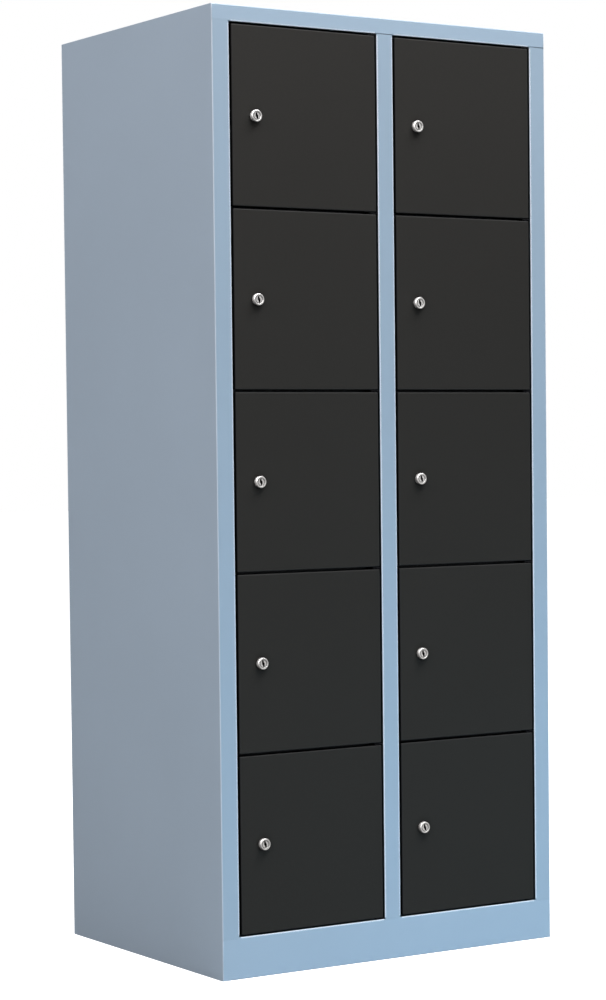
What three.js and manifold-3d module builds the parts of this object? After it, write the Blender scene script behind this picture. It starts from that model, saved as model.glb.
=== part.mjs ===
// A ten-door steel parcel locker: two columns of five doors in a folded sheet-metal carcass.
// Each door swings on a full-height rod and has its own cam lock.
// Millimetres, +Z up. The origin is on the floor under the middle of the carcass, and the doors face -Y.
import * as THREE from 'three';
import { mergeVertices } from 'three/addons/utils/BufferGeometryUtils.js';
import Module from 'manifold-3d';

const wasm = await Module();
wasm.setup();

// ---- Driving dimensions ----

// Carcass outside
const WIDTH = 760;
const DEPTH = 600;
const HEIGHT = 1800;
const STILE = 36.5; // face width of both outer stiles and of the mullion
const RAIL = 30; // face height of the rail over the doors
const PLINTH = 79; // face height of the plinth under the doors

// Folded sheet
const SHEET = 1;
const BEND = 1; // inside radius of every fold
const BEND_STEPS = 3;
const JAMB = 22.5; // from the front face back to the door stop
const STOP = 14; // how far the door stop reaches into the opening
const BACK_FLANGE = 20;
const FOOT_FLANGE = 20;
const SILL_FLANGE = 30; // the plinth's top flange, which carries the base panel

// Doors
const ROWS = 5;
const LOCK_SIDE_GAP = 5;
const HINGE_SIDE_GAP = 4;
const ROW_GAP = 5; // between one door and the next below it
const SILL_GAP = 3;
const HEAD_GAP = 4.25;
const DOOR_DEPTH = 18;
const DOOR_LIP = 12; // width of the lip folded round the back of the door pan
const DOOR_EDGE = 2; // outside radius of the door's front edges

// Hinges
const PIVOT_INSET = 6; // pivot axis from the door's hinge edge, and from its front face
const ROD_RADIUS = 2.5;
const ROD_HOLE = 2.9; // in the ears, the rail and the plinth
const DOOR_PIVOT_HOLE = 3.1;
const ROD_OVERHANG = 10; // how far the rod runs past the opening at each end
const ROD_SIDES = 12;
const STRIP = 2; // thickness of the hinge strip and its ears
const STRIP_WIDTH = 11;
const STRIP_INSET = 2; // strip's clearance to the jamb's inside corner
const EAR_REACH = 16; // how far an ear lies under the door, from the door's hinge edge
const EAR_SETBACK = 1;
const EAR_CORNER = 3;

// Shelves
const SHELF_LIP = 25;
const SHELF_FLANGE = 15;

// Locks, along the lock's axis from the door's front face
const LOCK_INSET = 49; // lock axis from the door's free edge, at the door's middle height
const LOCK_SIDES = 16;
const HEAD_RADIUS = 11;
const HEAD_HEIGHT = 8;
const HEAD_CHAMFER = 1.25;
const FACE_RECESS = 1;
const FACE_RADIUS = 8.25;
const BARREL_RADIUS = 9;
const BARREL_END = 24;
const BARREL_HOLE = 9.6;
const BORE_RADIUS = 7;
const NUT_RADIUS = 13;
const NUT_HEIGHT = 4;
const NUT_SIDES = 6;
const PLUG_RADIUS = 6.5;
const PLUG_END = 25;
const TAIL_RADIUS = 3.5;
const TAIL_END = 29;
const KEYHOLE_DEPTH = 18;
const KEYHOLE_WIDTH = 2.5;
const KEYHOLE_LENGTH = 5.5; // of each of the keyhole's two legs
const KEYHOLE_STEP = 1.5; // sideways step between the two legs
const CAM_THICKNESS = 2;
const CAM_LENGTH = 49;
const CAM_RADIUS = 8;
const CAM_TIP_RADIUS = 5;
const CAM_HOLE = 4;
const CAM_HOLE_SIDES = 8;
const CAM_CURVE_STEPS = 4;

// ---- Derived places ----

const RIGHT = WIDTH / 2;
const FRONT = -DEPTH / 2;
const BACK = DEPTH / 2;
const INNER_RIGHT = RIGHT - SHEET;
const STOP_FRONT = FRONT + JAMB;
const STOP_BACK = STOP_FRONT + SHEET;
const BACK_PANEL_FRONT = BACK - 2 * SHEET;
const OPENING_TOP = HEIGHT - RAIL;
const OPENING_WIDTH = (WIDTH - 3 * STILE) / 2;
const DOOR_WIDTH = OPENING_WIDTH - LOCK_SIDE_GAP - HINGE_SIDE_GAP;
const GAPS_TOTAL = SILL_GAP + HEAD_GAP + (ROWS - 1) * ROW_GAP;
const DOOR_HEIGHT = (OPENING_TOP - PLINTH - GAPS_TOTAL) / ROWS;
const DOOR_PITCH = DOOR_HEIGHT + ROW_GAP;
const PIVOT_Y = FRONT + PIVOT_INSET;

// Inner edges of each column's opening; every door is hung on the right of its opening.
const COLUMNS = [
  { side: 'left', left: -RIGHT + STILE, right: -STILE / 2, wallLeft: -INNER_RIGHT, wallRight: -SHEET / 2 },
  { side: 'right', left: STILE / 2, right: RIGHT - STILE, wallLeft: SHEET / 2, wallRight: INNER_RIGHT },
];

// Bottom edge of a door, counting rows from 1 at the top.
function doorBottom(row) {
  return PLINTH + SILL_GAP + (ROWS - row) * DOOR_PITCH;
}

// ---- Finishes ----

function finish(color, roughness, metalness) {
  return new THREE.MeshStandardMaterial({ color, roughness, metalness });
}

const framePaint = finish(0x98adc0, 0.5, 0);
const doorPaint = finish(0x303030, 0.55, 0);
const chrome = finish(0xc8c8c8, 0.15, 1);
const zinc = finish(0x9a9a96, 0.4, 1); // the cams

// ---- Geometry helpers ----

// Closed geometry to a solid, without the slivers that a lathe leaves on its axis.
function solid(geometry) {
  const bare = geometry.clone();
  bare.deleteAttribute('normal');
  bare.deleteAttribute('uv');
  const merged = mergeVertices(bare);
  const corners = merged.index.array;
  const kept = [];
  for (let i = 0; i < corners.length; i += 3) {
    const [a, b, c] = corners.slice(i, i + 3);
    if (a !== b && b !== c && c !== a) kept.push(a, b, c);
  }
  return new wasm.Manifold(new wasm.Mesh({
    numProp: 3,
    vertProperties: new Float32Array(merged.attributes.position.array),
    triVerts: new Uint32Array(kept),
  }));
}

function mesh(name, shape, material) {
  const { vertProperties, triVerts } = shape.getMesh();
  const geometry = new THREE.BufferGeometry();
  geometry.setAttribute('position', new THREE.BufferAttribute(vertProperties, 3));
  geometry.setIndex(new THREE.BufferAttribute(triVerts, 1));
  geometry.computeVertexNormals();
  const piece = new THREE.Mesh(geometry, material);
  piece.name = name;
  return piece;
}

function block([x0, x1], [y0, y1], [z0, z1]) {
  const box = new THREE.BoxGeometry(x1 - x0, y1 - y0, z1 - z0);
  return solid(box.translate((x0 + x1) / 2, (y0 + y1) / 2, (z0 + z1) / 2));
}

// A round bar along Z.
function upright(radius, x, y, z0, z1, sides) {
  const bar = new THREE.CylinderGeometry(radius, radius, z1 - z0, sides);
  bar.applyMatrix4(new THREE.Matrix4().makeBasis(
    new THREE.Vector3(1, 0, 0), new THREE.Vector3(0, 0, 1), new THREE.Vector3(0, -1, 0)));
  return solid(bar.translate(x, y, (z0 + z1) / 2));
}

// A round bar along Y.
function throughBar(radius, x, z, y0, y1, sides) {
  const bar = new THREE.CylinderGeometry(radius, radius, y1 - y0, sides);
  return solid(bar.translate(x, (y0 + y1) / 2, z));
}

// An outline in plan, pulled up from z0 to z1.
function raised(points, z0, z1) {
  const shape = new THREE.Shape(points);
  const body = new THREE.ExtrudeGeometry(shape, { depth: z1 - z0, bevelEnabled: false });
  return solid(body.translate(0, 0, z0));
}

// An outline of (y, z) points, pulled across from x0 to x1.
function pulledAcross(points, x0, x1) {
  const shape = new THREE.Shape(points);
  const body = new THREE.ExtrudeGeometry(shape, { depth: x1 - x0, bevelEnabled: false });
  body.applyMatrix4(new THREE.Matrix4().makeBasis(
    new THREE.Vector3(0, 1, 0), new THREE.Vector3(0, 0, 1), new THREE.Vector3(1, 0, 0)));
  return solid(body.translate(x0, 0, 0));
}

// A body extruded along Z, turned to face -Y, with its z = 0 plane at y = back.
function facing(geometry, back) {
  geometry.applyMatrix4(new THREE.Matrix4().makeBasis(
    new THREE.Vector3(1, 0, 0), new THREE.Vector3(0, 0, 1), new THREE.Vector3(0, -1, 0)));
  return solid(geometry.translate(0, back, 0));
}

// Outline of a sheet with right-angled folds. The path follows one face of the sheet,
// and the sheet lies on the right-hand side of it.
function folded(path) {
  const points = path.map(([x, y]) => new THREE.Vector2(x, y));
  const face = [];
  const reverse = [];
  points.forEach((point, i) => {
    const before = points[Math.max(i - 1, 0)];
    const after = points[Math.min(i + 1, points.length - 1)];
    const arriving = point.clone().sub(before).normalize();
    const leaving = after.clone().sub(point).normalize();
    if (i === 0 || i === points.length - 1) {
      const along = i === 0 ? leaving : arriving;
      const toRight = new THREE.Vector2(along.y, -along.x);
      face.push(point);
      reverse.push(point.clone().addScaledVector(toRight, SHEET));
      return;
    }
    const turnsRight = arriving.cross(leaving) < 0;
    const faceRadius = turnsRight ? BEND + SHEET : BEND;
    const reverseRadius = turnsRight ? BEND : BEND + SHEET;
    const centre = leaving.clone().sub(arriving).multiplyScalar(faceRadius).add(point);
    for (let step = 0; step <= BEND_STEPS; step += 1) {
      const angle = (step / BEND_STEPS) * (Math.PI / 2);
      const spoke = arriving.clone().multiplyScalar(Math.sin(angle))
        .addScaledVector(leaving, -Math.cos(angle));
      face.push(centre.clone().addScaledVector(spoke, faceRadius));
      reverse.push(centre.clone().addScaledVector(spoke, reverseRadius));
    }
  });
  return [...face, ...reverse.reverse()];
}

// ---- Carcass ----

// Plan of the carcass, rounded at its corners like the side panels' folds.
function carcassEnvelope() {
  const radius = BEND + SHEET;
  const plan = new THREE.Shape();
  plan.absarc(RIGHT - radius, BACK - radius, radius, 0, Math.PI / 2);
  plan.absarc(-RIGHT + radius, BACK - radius, radius, Math.PI / 2, Math.PI);
  plan.absarc(-RIGHT + radius, FRONT + radius, radius, Math.PI, 1.5 * Math.PI);
  plan.absarc(RIGHT - radius, FRONT + radius, radius, 1.5 * Math.PI, 2 * Math.PI);
  return raised(plan.getPoints(BEND_STEPS), 0, HEIGHT);
}

// Side skin, stile, jamb and door stop folded from one sheet, with a flange along the floor.
// The stile stops at the rail and the plinth, which run across the full width.
function sidePanel(mirror) {
  const path = [
    [RIGHT - STILE - STOP, STOP_FRONT],
    [RIGHT - STILE, STOP_FRONT],
    [RIGHT - STILE, FRONT],
    [RIGHT, FRONT],
    [RIGHT, BACK],
    [RIGHT - BACK_FLANGE, BACK],
  ];
  // The path above runs with the sheet on its left, so it is mirrored before it is folded.
  const outline = folded(path.map(([x, y]) => [-x, y]));
  outline.forEach((point) => { point.x *= -mirror; });
  const across = (near, far) => [near * mirror, far * mirror].sort((a, b) => a - b);
  const stileCut = across(RIGHT - STILE - STOP - SHEET, INNER_RIGHT);
  const edgeCut = across(INNER_RIGHT, RIGHT + SHEET);
  const top = HEIGHT - SHEET;
  const foot = block(across(RIGHT - FOOT_FLANGE, INNER_RIGHT), [STOP_BACK, BACK_PANEL_FRONT], [0, SHEET]);
  let panel = raised(outline, 0, top);
  for (const heights of [[-SHEET, PLINTH], [OPENING_TOP, HEIGHT]]) {
    panel = panel.subtract(block(stileCut, [FRONT - SHEET, STOP_BACK + SHEET], heights));
    panel = panel.subtract(block(edgeCut, [FRONT - SHEET, FRONT + SHEET], heights));
  }
  return panel.add(foot);
}

// Takes away what would run into the side skins behind a full-width face.
function clearOfSides(shape, z0, z1) {
  const behindFace = [FRONT + SHEET, BACK + SHEET];
  return shape
    .subtract(block([INNER_RIGHT, RIGHT + SHEET], behindFace, [z0, z1]))
    .subtract(block([-RIGHT - SHEET, -INNER_RIGHT], behindFace, [z0, z1]));
}

function pivotHoles(shape, z0, z1) {
  return COLUMNS.reduce((holed, column) => {
    const hole = upright(ROD_HOLE, pivotX(column), PIVOT_Y, z0, z1, ROD_SIDES);
    return holed.subtract(hole);
  }, shape);
}

function pivotX(column) {
  return column.right - HINGE_SIDE_GAP - PIVOT_INSET;
}

function topPanel(envelope) {
  const outline = folded([
    [STOP_BACK, OPENING_TOP],
    [FRONT, OPENING_TOP],
    [FRONT, HEIGHT],
    [BACK, HEIGHT],
    [BACK, HEIGHT - BACK_FLANGE],
  ]);
  const flangeLevels = [OPENING_TOP - SHEET, HEIGHT - SHEET];
  const backCorner = [BACK_PANEL_FRONT, BACK + SHEET];
  let panel = pulledAcross(outline, -RIGHT, RIGHT).intersect(envelope);
  panel = clearOfSides(panel, ...flangeLevels);
  panel = panel.subtract(block([RIGHT - BACK_FLANGE, RIGHT], backCorner, flangeLevels));
  panel = panel.subtract(block([-RIGHT, -RIGHT + BACK_FLANGE], backCorner, flangeLevels));
  return pivotHoles(panel, OPENING_TOP - SHEET, OPENING_TOP + 2 * SHEET);
}

function plinth(envelope) {
  const outline = folded([
    [FRONT + FOOT_FLANGE, 0],
    [FRONT, 0],
    [FRONT, PLINTH],
    [FRONT + SILL_FLANGE, PLINTH],
  ]);
  const panel = pulledAcross(outline, -RIGHT, RIGHT).intersect(envelope);
  return pivotHoles(clearOfSides(panel, -SHEET, PLINTH + SHEET), PLINTH - 2 * SHEET, PLINTH + SHEET);
}

// A horizontal panel between two walls, with a flange turned down along each wall.
function flangedPanel(outline, x0, x1, top, flange, front) {
  const along = [front, BACK_PANEL_FRONT - SHEET];
  const levels = [top - flange, top - SHEET / 2];
  return pulledAcross(outline, x0, x1)
    .add(block([x0, x0 + SHEET], along, levels))
    .add(block([x1 - SHEET, x1], along, levels));
}

function basePanel() {
  const top = PLINTH + SHEET;
  const outline = folded([
    [STOP_BACK, top],
    [BACK_PANEL_FRONT, top],
    [BACK_PANEL_FRONT, top - BACK_FLANGE],
  ]);
  const behindPlinth = FRONT + SILL_FLANGE + SHEET;
  return flangedPanel(outline, -INNER_RIGHT, INNER_RIGHT, top, BACK_FLANGE, behindPlinth);
}

function shelf(column, top) {
  const outline = folded([
    [STOP_BACK, top - SHELF_LIP],
    [STOP_BACK, top],
    [BACK_PANEL_FRONT, top],
    [BACK_PANEL_FRONT, top - SHELF_FLANGE],
  ]);
  const behindLip = STOP_BACK + SHEET;
  return flangedPanel(outline, column.wallLeft, column.wallRight, top, SHELF_FLANGE, behindLip);
}

function backPanel() {
  const halfWidth = INNER_RIGHT - BEND;
  const levels = [SHEET, HEIGHT - SHEET - BEND];
  return block([-halfWidth, halfWidth], [BACK_PANEL_FRONT, BACK - SHEET], levels);
}

// Top-hat section over the partition's front edge, with a door stop on each side.
function mullion() {
  const half = STILE / 2;
  const path = [
    [half + STOP, STOP_FRONT],
    [half, STOP_FRONT],
    [half, FRONT],
    [-half, FRONT],
    [-half, STOP_FRONT],
    [-half - STOP, STOP_FRONT],
  ];
  return raised(folded(path), PLINTH, OPENING_TOP);
}

// Sheet between the columns, with a flange folded behind the mullion's face.
function centrePartition() {
  const outline = folded([
    [STILE / 2 - 2 * SHEET, FRONT + SHEET],
    [-SHEET / 2, FRONT + SHEET],
    [-SHEET / 2, BACK_PANEL_FRONT],
  ]);
  const behindRail = block([-STILE, STILE], [FRONT, STOP_BACK], [OPENING_TOP, HEIGHT]);
  return raised(outline, PLINTH + SHEET, HEIGHT - SHEET).subtract(behindRail);
}

// ---- Hinges ----

function earOutline(column) {
  const free = column.right - HINGE_SIDE_GAP - EAR_REACH;
  const fixed = column.right - STRIP_INSET / 2;
  const front = FRONT + EAR_SETBACK;
  const ear = new THREE.Shape();
  ear.moveTo(fixed, STOP_FRONT);
  ear.lineTo(free, STOP_FRONT);
  ear.absarc(free + EAR_CORNER, front + EAR_CORNER, EAR_CORNER, Math.PI, 1.5 * Math.PI);
  ear.lineTo(fixed, front);
  return ear.getPoints(BEND_STEPS);
}

// Middles of the gaps above, below and between a column's doors.
function gapLevels() {
  const levels = [PLINTH + SILL_GAP / 2];
  for (let row = 1; row < ROWS; row += 1) levels.push(doorBottom(row) - ROW_GAP / 2);
  return [...levels, OPENING_TOP - HEAD_GAP / 2];
}

// Vertical strip welded to the door stop, with an ear in every gap between doors for the rod.
function hingeStrip(column) {
  const edge = column.right - STRIP_INSET;
  const levels = gapLevels();
  const ends = [Math.min(...levels) - STRIP / 2, Math.max(...levels) + STRIP / 2];
  let strip = block([edge - STRIP_WIDTH, edge], [STOP_FRONT - STRIP, STOP_FRONT], ends);
  for (const level of levels) {
    strip = strip.add(raised(earOutline(column), level - STRIP / 2, level + STRIP / 2));
  }
  return strip.subtract(upright(ROD_HOLE, pivotX(column), PIVOT_Y, 0, HEIGHT, ROD_SIDES));
}

function hingeRod(column) {
  const ends = [PLINTH - ROD_OVERHANG, OPENING_TOP + ROD_OVERHANG];
  return upright(ROD_RADIUS, pivotX(column), PIVOT_Y, ...ends, ROD_SIDES);
}

// ---- Doors: x from the free edge, y from the front face, z from the bottom edge ----

function doorPan() {
  const width = [DOOR_EDGE, DOOR_WIDTH - DOOR_EDGE];
  const height = [DOOR_EDGE, DOOR_HEIGHT - DOOR_EDGE];
  const face = new THREE.Shape([
    new THREE.Vector2(width[0], height[0]),
    new THREE.Vector2(width[1], height[0]),
    new THREE.Vector2(width[1], height[1]),
    new THREE.Vector2(width[0], height[1]),
  ]);
  const rounded = new THREE.ExtrudeGeometry(face, {
    depth: DOOR_DEPTH,
    bevelSize: DOOR_EDGE,
    bevelThickness: DOOR_EDGE,
    bevelSegments: BEND_STEPS,
  });
  const inside = [SHEET, DOOR_DEPTH - SHEET];
  const pan = facing(rounded, DOOR_DEPTH + DOOR_EDGE)
    .intersect(block([0, DOOR_WIDTH], [0, DOOR_DEPTH], [0, DOOR_HEIGHT]))
    .subtract(block([SHEET, DOOR_WIDTH - SHEET], inside, [SHEET, DOOR_HEIGHT - SHEET]))
    .subtract(block(
      [DOOR_LIP, DOOR_WIDTH - DOOR_LIP],
      [DOOR_DEPTH / 2, DOOR_DEPTH + SHEET],
      [DOOR_LIP, DOOR_HEIGHT - DOOR_LIP],
    ));
  const pivot = [DOOR_WIDTH - PIVOT_INSET, PIVOT_INSET];
  return pan
    .subtract(upright(DOOR_PIVOT_HOLE, ...pivot, -SHEET, DOOR_HEIGHT + SHEET, ROD_SIDES))
    .subtract(throughBar(BARREL_HOLE, LOCK_INSET, DOOR_HEIGHT / 2, -SHEET, 2 * SHEET, LOCK_SIDES));
}

// ---- Locks: turned about the lock's axis, y from the door's front face ----

function turned(profile) {
  const points = profile.map(([radius, y]) => new THREE.Vector2(radius, y));
  return solid(new THREE.LatheGeometry(points, LOCK_SIDES));
}

function lockBody() {
  const faceFloor = FACE_RECESS - HEAD_HEIGHT;
  const shell = turned([
    [BORE_RADIUS, BARREL_END],
    [BORE_RADIUS, faceFloor],
    [FACE_RADIUS, faceFloor],
    [FACE_RADIUS, -HEAD_HEIGHT],
    [HEAD_RADIUS - HEAD_CHAMFER, -HEAD_HEIGHT],
    [HEAD_RADIUS, HEAD_CHAMFER - HEAD_HEIGHT],
    [HEAD_RADIUS, 0],
    [BARREL_RADIUS, 0],
    [BARREL_RADIUS, BARREL_END],
    [BORE_RADIUS, BARREL_END],
  ]);
  const nutFaces = [SHEET, SHEET + NUT_HEIGHT];
  const nut = throughBar(NUT_RADIUS, 0, 0, ...nutFaces, NUT_SIDES)
    .subtract(throughBar(BARREL_RADIUS - SHEET, 0, 0, 0, BARREL_END, LOCK_SIDES));
  return shell.add(nut);
}

function lockPlug() {
  const face = FACE_RECESS - HEAD_HEIGHT;
  const plug = turned([
    [0, face],
    [PLUG_RADIUS, face],
    [PLUG_RADIUS, PLUG_END],
    [TAIL_RADIUS, PLUG_END],
    [TAIL_RADIUS, TAIL_END],
    [0, TAIL_END],
  ]);
  const depth = [face - SHEET, face + KEYHOLE_DEPTH];
  const half = KEYHOLE_WIDTH / 2;
  const shift = KEYHOLE_STEP / 2;
  return plug
    .subtract(block([-shift - half, -shift + half], depth, [-half, KEYHOLE_LENGTH]))
    .subtract(block([shift - half, shift + half], depth, [-KEYHOLE_LENGTH, half]));
}

// Flat cam that hangs down when the lock is open. A quarter turn puts its tip behind the door stop.
function lockCam() {
  const tip = CAM_TIP_RADIUS;
  const low = tip - CAM_LENGTH;
  const outline = new THREE.Shape();
  outline.absarc(0, 0, CAM_RADIUS, 0, Math.PI);
  outline.absarc(tip - CAM_RADIUS, low, tip, Math.PI, 1.5 * Math.PI);
  outline.absarc(CAM_RADIUS - tip, low, tip, 1.5 * Math.PI, 2 * Math.PI);
  const plate = new THREE.ExtrudeGeometry(outline, {
    depth: CAM_THICKNESS,
    bevelEnabled: false,
    curveSegments: CAM_CURVE_STEPS,
  });
  const faces = [PLUG_END, PLUG_END + CAM_THICKNESS];
  const hole = throughBar(CAM_HOLE, 0, 0, faces[0] - SHEET, faces[1] + SHEET, CAM_HOLE_SIDES);
  return facing(plate, faces[1]).subtract(hole);
}

// ---- Assembly ----

const locker = new THREE.Group();
const envelope = carcassEnvelope();
locker.add(
  mesh('side_panel_left', sidePanel(-1), framePaint),
  mesh('side_panel_right', sidePanel(1), framePaint),
  mesh('top_panel', topPanel(envelope), framePaint),
  mesh('base_panel', basePanel(), framePaint),
  mesh('plinth', plinth(envelope), framePaint),
  mesh('back_panel', backPanel(), framePaint),
  mesh('mullion', mullion(), framePaint),
  mesh('centre_partition', centrePartition(), framePaint),
);

const pan = doorPan();
const body = lockBody();
const plug = lockPlug();
const cam = lockCam();

for (const column of COLUMNS) {
  const { side } = column;
  locker.add(
    mesh(`hinge_strip_${side}`, hingeStrip(column), doorPaint),
    mesh(`hinge_rod_${side}`, hingeRod(column), doorPaint),
  );
  for (let row = 1; row <= ROWS; row += 1) {
    const bottom = doorBottom(row);
    if (row < ROWS) locker.add(mesh(`shelf_${side}_${row}`, shelf(column, bottom), framePaint));

    const lock = new THREE.Group();
    lock.position.set(LOCK_INSET, 0, DOOR_HEIGHT / 2);
    lock.add(
      mesh(`lock_body_${side}_${row}`, body, chrome),
      mesh(`lock_plug_${side}_${row}`, plug, chrome),
      mesh(`lock_cam_${side}_${row}`, cam, zinc),
    );

    const door = new THREE.Group();
    door.position.set(column.left + LOCK_SIDE_GAP, FRONT, bottom);
    door.add(mesh(`door_${side}_${row}`, pan, doorPaint), lock);
    locker.add(door);
  }
}

export default locker;
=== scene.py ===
import math

import bmesh
import bpy
from mathutils import Matrix, Vector

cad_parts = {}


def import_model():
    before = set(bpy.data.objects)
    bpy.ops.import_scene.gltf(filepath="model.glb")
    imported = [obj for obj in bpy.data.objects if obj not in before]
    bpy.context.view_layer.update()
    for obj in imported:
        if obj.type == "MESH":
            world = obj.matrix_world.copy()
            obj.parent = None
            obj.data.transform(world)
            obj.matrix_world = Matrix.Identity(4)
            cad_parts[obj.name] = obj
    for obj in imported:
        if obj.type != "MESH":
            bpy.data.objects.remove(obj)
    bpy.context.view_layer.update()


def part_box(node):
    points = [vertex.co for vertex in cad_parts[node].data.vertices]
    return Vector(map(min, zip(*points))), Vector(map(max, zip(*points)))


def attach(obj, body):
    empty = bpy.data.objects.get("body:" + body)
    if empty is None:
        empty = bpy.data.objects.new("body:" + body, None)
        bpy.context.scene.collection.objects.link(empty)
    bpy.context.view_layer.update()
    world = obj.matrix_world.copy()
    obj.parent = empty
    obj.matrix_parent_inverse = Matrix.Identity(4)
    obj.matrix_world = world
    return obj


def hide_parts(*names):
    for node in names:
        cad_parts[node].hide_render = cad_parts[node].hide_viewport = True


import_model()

MM = 0.001
X, Y, Z = 0, 1, 2
SIDES = ("left", "right")
ROWS = 5                     # doors in a column, counted from 1 at the top

# ---- Driving dimensions that the frame's boxes don't give ----

# Folded sheet
SHEET = 1 * MM
BEND = 1 * MM                # inside radius of every fold
FOLD = BEND + SHEET          # outside radius of every fold
BEND_STEPS = 8
SHEARED = 0.25 * MM          # rounding of sheared sheet edges
STOP = 14 * MM               # how far a door stop reaches into the opening
FILLER_SKIN = 0.05 * MM      # how far a filled groove stands proud of the sheet
BACK_FLANGE = 20 * MM
FOOT_FLANGE = 20 * MM
SHELF_FLANGE = 15 * MM
SHELF_BORDER = 11 * MM       # strip of the shelf's top that is built with its lips

# Doors
DOOR_LIP = 12 * MM
MITRE_GAP = 0.6 * MM         # between the ends of neighbouring lips
MITRE_START = 1.5 * FOLD     # from the door's corner to where the gap starts, along it
PIVOT_INSET = 6 * MM
PIVOT_HOLE = 3.1 * MM
LOCK_HOLE = 9.6 * MM

# Hinges
ROD_RADIUS = 2.5 * MM
EAR_HOLE = 2.9 * MM
EAR_CORNER = 3 * MM
STRIP = 2 * MM               # thickness of the hinge strip and its ears
STRIP_WIDTH = 11 * MM
ROUND_SIDES = 32             # of the rods, their holes and the washers

# Locks, along the lock's axis from the door's front face
HEAD_RADIUS = 11 * MM
HEAD_HEIGHT = 8 * MM
HEAD_SOFT = 0.3 * MM         # rounding inside the head and at both ends of the barrel
RIM_ROUNDING = (1.2 * MM, 1.5 * MM)  # of the head's outer edge, across and along the axis
FACE_RECESS = 1 * MM
FACE_RADIUS = 8.25 * MM
BORE_RADIUS = 7 * MM
BARREL_RADIUS = 9 * MM
BARREL_END = 24 * MM
BARREL_FLAT = 8 * MM         # from the axis to the flats on both sides of the barrel
THREAD_PITCH = 1.5 * MM
THREAD_DEPTH = 0.6 * MM
THREAD_FLANK = 0.45          # share of the pitch that each of a thread's two flanks takes up
NUT_RADIUS = 13 * MM
NUT_HEIGHT = 4 * MM
NUT_BORE = BARREL_RADIUS + 0.05 * MM
PLUG_RADIUS = 6.5 * MM
PLUG_END = 25 * MM
PLUG_SOFT = 0.25 * MM
TAIL_SIDE = 5.2 * MM
TAIL_END = 27 * MM
KEYHOLE_DEPTH = 18 * MM
KEYHOLE_WIDTH = 3.6 * MM
KEYHOLE_LENGTH = 6.0 * MM    # of each of the keyhole's two legs
KEYHOLE_STEP = 2.0 * MM      # sideways step between the two legs
CAM_THICKNESS = 2 * MM
CAM_LENGTH = 49 * MM
CAM_RADIUS = 8 * MM
CAM_TIP_RADIUS = 5 * MM
CAM_PLAY = 0.1 * MM          # between the tail and each side of the cam's square hole
WASHER_RADIUS = 5.5 * MM
WASHER_HEIGHT = 0.8 * MM
SCREW_START = TAIL_END + 0.7 * MM  # just inside the washer, so that the two are one piece
SCREW_HEIGHT = 3 * MM
SCREW_RADIUS = 4.6 * MM
SCREW_CROWN = (0.2 * MM, 0.4 * MM)  # turned off the screw head's corners, across and along the axis
LATHE_SIDES = 64

# Rounding of finished pieces
FINE = 0.1 * MM              # lock body, nut and cam screw
PLUG_EDGE = 0.15 * MM
CAM_EDGE = 0.4 * MM
SHARP = 50                   # degrees: edges that turn more than this are rounded, or shaded as sharp
COPLANAR = 0.5               # degrees: faces that differ by less are joined
SAME_PLACE = 0.001 * MM      # points closer than this are one point
SAME_PLACE_CUT = 0.002 * MM  # the same, after cutting

# Finishes
HIGHLIGHT_BAND = 4 * MM           # width of the painted highlight beside a fold
JOINT_BAND = 3 * MM          # where pieces meet, there is no painted highlight
CORNER_BAND = 8 * MM         # the carcass's outer corners, where the painted highlight is fainter
# Strength of the painted highlight on the folds at the outer corners
CORNER_SHARE = 0.35
CREVICE = 14 * MM            # reach of the painted shade in narrow gaps
FLOOR_BAND = 16 * MM         # above the floor, where the floor isn't taken for the side of a gap and gives no painted shade
RAMP = 0.5 * MM              # length of the change at each end of a span
NOISE_SPAN = (0.3, 0.7)      # a noise's usual lowest and highest values
SURROUND_SAMPLES = 6
# How squarely a surface faces one way, where an effect starts and where it is full. 1 is square to it.
FLAT_TO_FOLD = (0.999, 0.93)
FLAT_TO_EDGE = (0.999, 0.95)
SIDE_TO_FRONT = (0.45, 0.75)
FACE_TO_SIDE = (0.9, 0.3)
OPENNESS = (0.4, 0.95)       # open share of the surroundings where the painted shade makes a surface black, and where it is fully lit

# Powder paint, with scales in cells per metre
CLOUD_SCALE = 2.5
CLOUD_DETAIL = 3
PEEL_SCALE = 420
GRAIN_SCALE = 1400
GRAIN_SHARE = 0.2            # relief of the grain, against the orange peel's
FRAME_COLOUR = (147, 167, 185)
# Painted highlight: the pale colour over folds and beside edges, standing in for the light that they catch
FRAME_FOLD_HIGHLIGHT = (225, 232, 242)
FRAME_ROUGHNESS = (0.36, 0.48)
FRAME_MOTTLE = 0.02          # how much the tone varies, up and down
FRAME_SHINE = 0.5
CROSSBAR_LIGHT_SHARE = 1.07        # painted light: rail and plinth are made brighter than the uprights, standing in for the stronger light on them
DOOR_COLOUR = (40, 39, 37)
# Painted highlight: the doors' slightly paler colour over folds and beside edges
DOOR_FOLD_HIGHLIGHT = (42, 42, 42)
# Painted shade: hinge strips and rods are made near black, standing in for the shade they sit in inside the
# door gaps; their fold colour is a slight painted highlight
HINGE_SHADE_COLOUR = (14, 14, 18)
HINGE_FOLD_HIGHLIGHT = (18, 18, 22)
DARK_ROUGHNESS = (0.6, 0.72)
DARK_MOTTLE = 0.03
DARK_SHINE = 0.2
PEEL_DEPTH = 0.02 * MM       # relief of the orange peel

# Plated metal
CHROME_COLOUR = (0.80, 0.79, 0.78)
CHROME_ROUGHNESS = (0.3, 0.4)
CHROME_SCALE = 160
ZINC_COLOUR = (0.60, 0.60, 0.57)
ZINC_ROUGHNESS = (0.32, 0.5)
ZINC_SCALE = 240
CLOUDED = 0.88               # tone of the darkest clouds
RELIEF_SCALE = 12            # cells of the unevenness in one cell of the clouds
RELIEF_DEPTH = 0.004 * MM
DULL_SIDE = 0.26             # roughness added on surfaces that run along the lock's axis

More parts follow.
